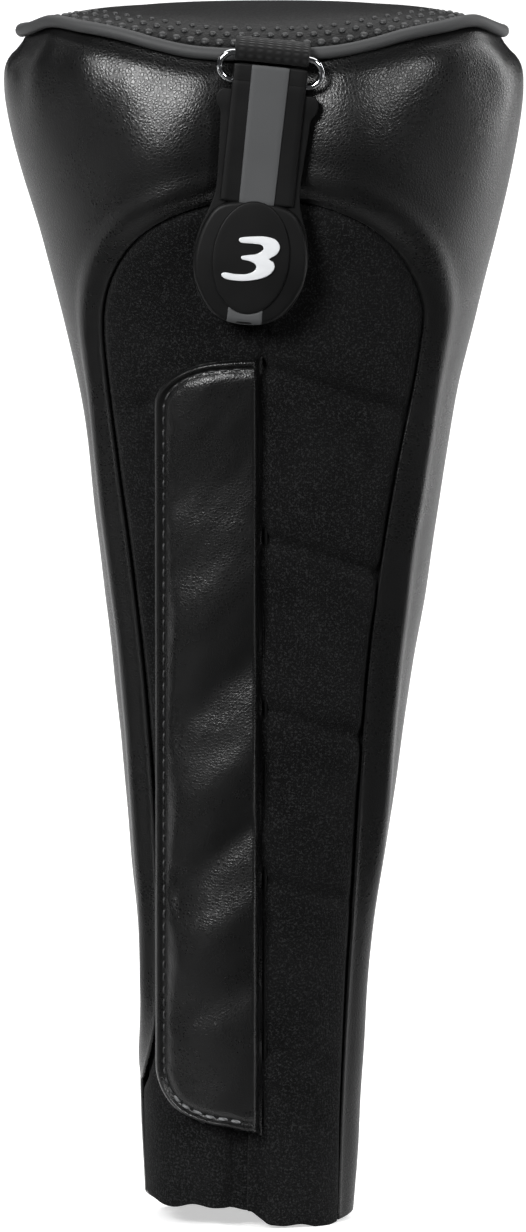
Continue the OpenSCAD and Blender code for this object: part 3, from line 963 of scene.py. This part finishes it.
def flap_folds(x, z):
    """Soft diagonal folds of the flap's leather, in millimetres."""
    waves = 0.0
    for mid, size, width, slope in ((0.181, 0.9, 0.010, 0.7), (0.128, 1.3, 0.009, 0.9),
                                    (0.086, 1.1, 0.008, 0.7),
                                    (0.153, -1.2, 0.008, 0.9), (0.107, -1.4, 0.006, 0.9),
                                    (0.066, -0.9, 0.006, 0.5),
                                    (0.214, -0.6, 0.010, 0.3)):
        waves += size * bell(z - slope * (x + 0.012), mid, width)
    spot = np.stack([x, 0 * x, z - 0.5 * x], axis=-1)
    return waves + 0.3 * noise(spot, 0.013, 31) + 0.1 * noise(spot, 0.005, 33)


def flap_point(x, z, under=0.0):
    """Point of the flap's outer surface, or one that lies under it by a distance."""
    e = to_edge(x, z)
    puff = 0.45 * bell(e, 0.0007, 0.0007) - 0.8 * bell(e, 0.0024, 0.0009) + 0.4 * ramp(e, 0.003, 0.0055)
    edge = -0.9 * (1 - ramp(e, 0, 0.0007))
    calm = ramp(e, 0.0015, 0.007)
    roll = 1 - ramp(x, -0.0026, -0.0005)
    pucker = 0.07 * bell(e, 0.0034, 0.0012) * np.sin(2 * math.pi * (z + x) / (2 * STITCH_PITCH))
    off = (3.3 + puff + edge + flap_folds(x, z) * calm + pucker) * roll - 1.3 * (1 - roll)
    near_low = 1 - ramp(z, FLAP_BOTTOM, FLAP_BOTTOM + 0.03)
    near_top = ramp(z, SEAM_TOP - 0.02, SEAM_TOP)
    to_seam = ramp(x, -0.027, -0.001)
    z = z + MM * (3.2 * (1 - to_seam) * near_low + 1.6 * to_seam * near_top)
    return on_body(z, angle_at(z, x, off * MM), off * MM - under)


def flap_grid(edge, right, under, rows=330, cols=60):
    """Grid of the flap inside its free outline, moved in by edge, as far as x = right."""
    w = np.linspace(-1, 1, rows)
    w = np.sign(w) * (1 - (1 - np.abs(w)) ** 1.15)
    z = (SEAM_TOP + FLAP_BOTTOM) / 2 + w * ((SEAM_TOP - FLAP_BOTTOM) / 2 - edge)
    reach = (z - FLAP_BOTTOM) / (SEAM_TOP - FLAP_BOTTOM)
    spare = edge * (1 - 2 * reach)
    left = flap_left(np.clip(z - spare, FLAP_BOTTOM, SEAM_TOP)) + edge
    s = np.linspace(0, 1, cols) ** 0.9
    x = left[:, None] + (right - left[:, None]) * s[None]
    return flap_point(x, z[:, None] + 0 * x, under)


def build_flap():
    grid = flap_grid(0, -0.0004, 0)
    flap = cloth("flap", grid, 1.0 * MM)
    finish(flap, FLAP_LEATHER, "black_leather", None, "closure_flap")
    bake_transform(flap)

    grid = flap_grid(0.9 * MM, -0.0046, 1.12 * MM, 200, 30)
    finish(cloth("flap_lining", grid, 0.4 * MM), BACKING, "flap_backing", "flap",
                    "flap_facing")
    z = np.linspace(0.045, 0.225, 200)
    x = np.linspace(-0.026, -0.010, 24)
    xx, zz = np.meshgrid(x, z)
    grid = flap_point(xx, zz, 1.78 * MM)
    tape = cloth("hook_tape", grid, 0.5 * MM)
    finish(tape, NAP, "hook_and_loop", "flap", "hook_strip")
    grid = on_body(zz, angle_at(zz, xx), 0.2 * MM)
    tape = cloth("loop_tape", grid, 1.0 * MM)
    finish(tape, NAP, "hook_and_loop", "cover", "loop_strip")

    z = np.linspace(FLAP_BOTTOM + 0.003, SEAM_TOP - 0.004, 90)
    path = on_body(z, angle_at(z, 0.0008 + 0 * z), -2.3 * MM)
    finish(tube("seam_cord", path, 0.55 * MM, 8, up=(0, -1, 0)), RUBBER, "tag_rubber", "cover", "flap_welt")
    build_stitches()


def build_stitches():
    """Topstitch: short threads that dip into the leather at each end, on a line inside the free edge."""
    inner = FLAP_EDGE.copy()
    along = np.gradient(inner, axis=0)
    along /= np.linalg.norm(along, axis=1, keepdims=True)
    inner += 2.5 * MM * np.stack([-along[:, 1], along[:, 0]], axis=1)
    inner = inner[(inner[:, 0] < -0.0045)]
    line = resample(inner, STITCH_PITCH)
    threads = {"side": [], "low": []}
    for a, b in zip(line, line[1:]):
        where = "low" if a[1] < FLAP_BOTTOM + 0.009 else "side"
        q = a + (b - a) * np.linspace(0.1, 0.82, 7)[:, None]
        lift = np.array([-0.35, 0.05, 0.2, 0.26, 0.2, 0.05, -0.35]) * MM
        path = np.stack([flap_point(x, z, -h) for (x, z), h in zip(q, lift)])
        size = (0.5 if where == "low" else 0.3) * MM
        shape = size * np.array([0.6, 0.9, 1, 1, 1, 0.9, 0.6])
        threads[where].append(tube("thread", path, shape, 7, up=(0, -1, 0)))
    # The side stitches take the darker copy of the thread as painted shade; the low row takes the thread's
    # own grey.
    finish(join("topstitch_side", threads["side"]), THREAD_PAINTED_SHADE, "thread", "flap", "flap_topstitch")
    finish(join("topstitch_low", threads["low"]), THREAD, "thread", "flap", "flap_topstitch")


# ---- ring and tag: x to the right, y down the tag from the ring's lower bar, f forwards ----

JOINTS = {joint["name"]: joint for joint in frame["record"]["behaviour"]["joints"]}
HANG = np.array(JOINTS["ring_swing"]["pos_m"])
TAG_LEAN = math.radians(6)
BAR_GAP = 7.7 * MM


def on_hardware(x, y, f):
    """Point x to the right of the ring's upper bar, y above it and f in front of it, all in millimetres."""
    x, y, f = (np.asarray(v, float) * MM for v in (x, y, f))
    c, s = math.cos(TAG_LEAN), math.sin(TAG_LEAN)
    return HANG + np.stack([c * x + s * y, -f + 0 * x, c * y - s * x], axis=-1)


def on_tag(x, y, f):
    return on_hardware(x, np.asarray(y) - BAR_GAP / MM, f)


def ribbon(name, path, width, thick, place, steps=16):
    """Band of webbing or rubber whose middle follows a path of (f, y)."""
    path = resample(curve_through(path, 10, closed=False), 0.35)
    x = np.linspace(-width / 2, width / 2, steps)
    grid = place(x[None] + 0 * path[:, :1], path[:, 1:] + 0 * x[None], path[:, :1] + 0 * x[None])
    n = normals_of(grid)
    return cloth(name, grid + n * thick * MM / 2, thick * MM, uv=cloth_uv(grid))


def slab(name, outline, back, front, edge, crown=0.0, back_edge=None):
    """Solid with this outline and rounded edges; crown swells its front face."""
    back_edge = edge if back_edge is None else back_edge
    rings = []
    for k in range(4):
        w = k / 3 * math.pi / 2
        ring = inset(outline, back_edge * (1 - math.sin(w)))
        rings.append(on_tag(ring[:, 0], ring[:, 1], back + back_edge * (1 - math.cos(w))))
    for k in range(5):
        w = k / 4 * math.pi / 2
        ring = inset(outline, edge * (1 - math.cos(w)))
        rings.append(on_tag(ring[:, 0], ring[:, 1], front - edge * (1 - math.sin(w))))
    if crown:
        top = inset(outline, edge)
        mid = top.mean(axis=0)
        for share in (0.93, 0.85, 0.75, 0.62, 0.48, 0.33, 0.17, 0.05):
            ring = mid + (top - mid) * share
            rings.append(on_tag(ring[:, 0], ring[:, 1], front + crown * (1 - share ** 2)))
    return stack(name, rings, fan=bool(crown))


def oval(mid, width, height, count=96):
    w = np.arange(count) / count * 2 * math.pi
    return np.stack([width / 2 * np.cos(w), -mid + height / 2 * np.sin(w)], axis=1)


BADGE_MID, BADGE_W, BADGE_H = 48.3, 21.4, 31.4
TAG_HALF = [(0, -67.3), (4.6, -66.9), (8.8, -65.0), (12.4, -61.4), (14.8, -56.3), (15.75, -51), (15.7, -46.5),
            (14.9, -41.8), (13.3, -37), (12.0, -32.6), (11.6, -28), (11.9, -21), (12.3, -14), (12.6, -9.2),
            (13.7, -7.2), (14.2, -5.4), (13.9, -3.6), (12.7, -2.5), (9.5, -2.3)]
NUMERAL = [(-3.3, 4.3), (-0.6, 4.7), (3.4, 4.75), (6.5, 3.9), (7.8, 1.9), (6.9, -0.2), (4.9, -1.55),
           (6.1, -2.6),
           (6.2, -4.3), (4.4, -6.2), (1, -7.3), (-3, -7.6), (-6.9, -7.1), (-8.4, -6), (-7.6, -5.2),
           (-4.4, -5.7),
           (-1.2, -5.65), (0.9, -4.6), (1.1, -3.1), (-0.6, -2.1), (-2.6, -1.6), (-2.9, -0.8), (-1.4, -0.45),
           (1.4, -0.1), (3.2, 1.2), (2.6, 2.4), (0.2, 2.75), (-3, 3.1)]


def build_hardware():
    finish(ribbon("webbing", [(-9.4, 0.6), (-8.2, 2.9), (-6.2, 3.55), (-3.2, 3.2), (-0.6, 2.3), (1.0, 1.3),
                              (1.6, 0),
                              (0.9, -1.3), (-0.4, -1.55), (-1.5, -0.6), (-2.9, 1.0), (-4.6, 2.1), (-6.2, 2.4),
                              (-7.9, 1.8), (-8.6, 0.2)],
                  19.6, 1.05, on_hardware), WEBBING, "webbing", "cover", "webbing_loop")

    bend = BAR_GAP / MM / 2
    half, turn = 15 - 0.9 - bend, np.linspace(-math.pi / 2, math.pi / 2, 24)[::-1]
    right = np.stack([half + bend * np.cos(turn), bend * (np.sin(turn) - 1)], axis=1)
    straight = np.linspace(half, -half, 14)[1:-1]
    oval_path = np.concatenate([right, np.stack([straight, 0 * straight - 2 * bend], axis=1),
                                (right * [-1, 1])[::-1], np.stack([-straight, 0 * straight], axis=1)])
    path = on_hardware(oval_path[:, 0], oval_path[:, 1], 0 * oval_path[:, 0])
    finish(tube("ring", path, 0.92 * MM, 18, up=(0, -1, 0), closed=True), CHROME, "chrome", "ring",
           "oval_ring")


def build_tag():
    finish(ribbon("tag_band", [(-1.5, -9), (-1.55, -4), (-1.5, 0), (-0.9, 1.3), (0, 1.62), (0.9, 1.3),
                               (1.5, 0),
                               (1.55, -6), (1.55, -20), (1.55, -33)], 19.4, 1.15, on_tag),
           RUBBER, "tag_rubber", "tag", "tag_strap")
    finish(ribbon("tag_tip", [(1.5, 0.2), (1.5, 2.4), (1.4, 4.6)], 19.4, 1.1, on_tag), RUBBER, "tag_rubber",
           "tag")
    half = np.array(TAG_HALF)
    outline = curve_through(np.concatenate([half, (half * [-1, 1])[:0:-1]]), 5)
    body = slab("tag_plate", outline, -0.9, 0.93, 0.35)
    lobe = curve_through([(0, -67.2), (8.7, -64.9), (14.6, -56.2), (15.6, -48), (13.5, -39.2), (9.4, -34.2),
                          (0, -32.6),
                          (-9.4, -34.2), (-13.5, -39.2), (-15.6, -48), (-14.6, -56.2), (-8.7, -64.9)], 10)
    finish(join("tag_base", [body, slab("lobe", lobe, 0.5, 2.7, 1.3, back_edge=0.1)]), RUBBER, "tag_rubber",
           "tag",
           "tag_body")
    finish(slab("badge", oval(BADGE_MID, BADGE_W, BADGE_H), 2.2, 3.5, 0.45, crown=0.35), RUBBER,
           "tag_rubber", "tag",
           "tag_badge")

    edge = np.linspace(-33.2, 4.8, 40)
    wide = 4.65 + 0.35 * (edge + 33) / 37
    stripe = np.stack([np.linspace(-1, 1, 9)[None] * wide[:, None], edge[:, None] + np.zeros((1, 9))],
                      axis=-1)
    grid = on_tag(stripe[..., 0], stripe[..., 1], 2.13 + 0.42 + 0 * stripe[..., 0])
    upper = cloth("stripe_upper", grid, 0.5 * MM)
    x = np.linspace(-4.6, 4.6, 11)
    share = np.linspace(0, 1, 6)[:, None]
    low = -67.0 + 0.02 * x ** 2
    high = -BADGE_MID - BADGE_H / 2 * np.sqrt(1 - (x / (BADGE_W / 2)) ** 2) - 0.25
    y = low[None] * (1 - share) + high[None] * share
    grid = on_tag(x[None] + 0 * y, y, 2.95 - 0.9 * ramp(-y, 65.6, 67.3))
    lower = cloth("stripe_lower", grid, 0.5 * MM)
    finish(join("stripe", [upper, lower]), STRIPE, "stripe_gray", "tag", "tag_stripe")

    shape = curve_through(np.array(NUMERAL), 6)
    c, s = math.cos(TAG_LEAN), math.sin(TAG_LEAN)
    shape = np.stack([c * shape[:, 0] - s * shape[:, 1], s * shape[:, 0] + c * shape[:, 1]], axis=1)[::-1]
    shape = shape + [0.1, -BADGE_MID + 1.3]
    finish(slab("numeral", shape, 3.55, 4.45, 0.28, back_edge=0.02), SILVER, "numeral_silver", "tag",
           "tag_numeral")


# ---- build ----

add_camera()
add_stage()
add_lights()
bpy.context.scene.view_settings.view_transform = "Standard"

for side, word in ((-1, "left"), (1, "right")):
    grid = leather_grid(side)
    piece = cloth(f"{word}_leather", grid, 1.1 * MM)
    finish(piece, LEATHER, "black_leather", "cover", f"{word}_leather_panel")
    grid = knit_grid(side)
    piece = cloth(f"{word}_knit", grid, 0.8 * MM)
    finish(piece, KNIT, "knit_black", "cover", f"{word}_front_fabric")
build_crown()
build_piping()
build_inside()
build_flap()
build_hardware()
build_tag()
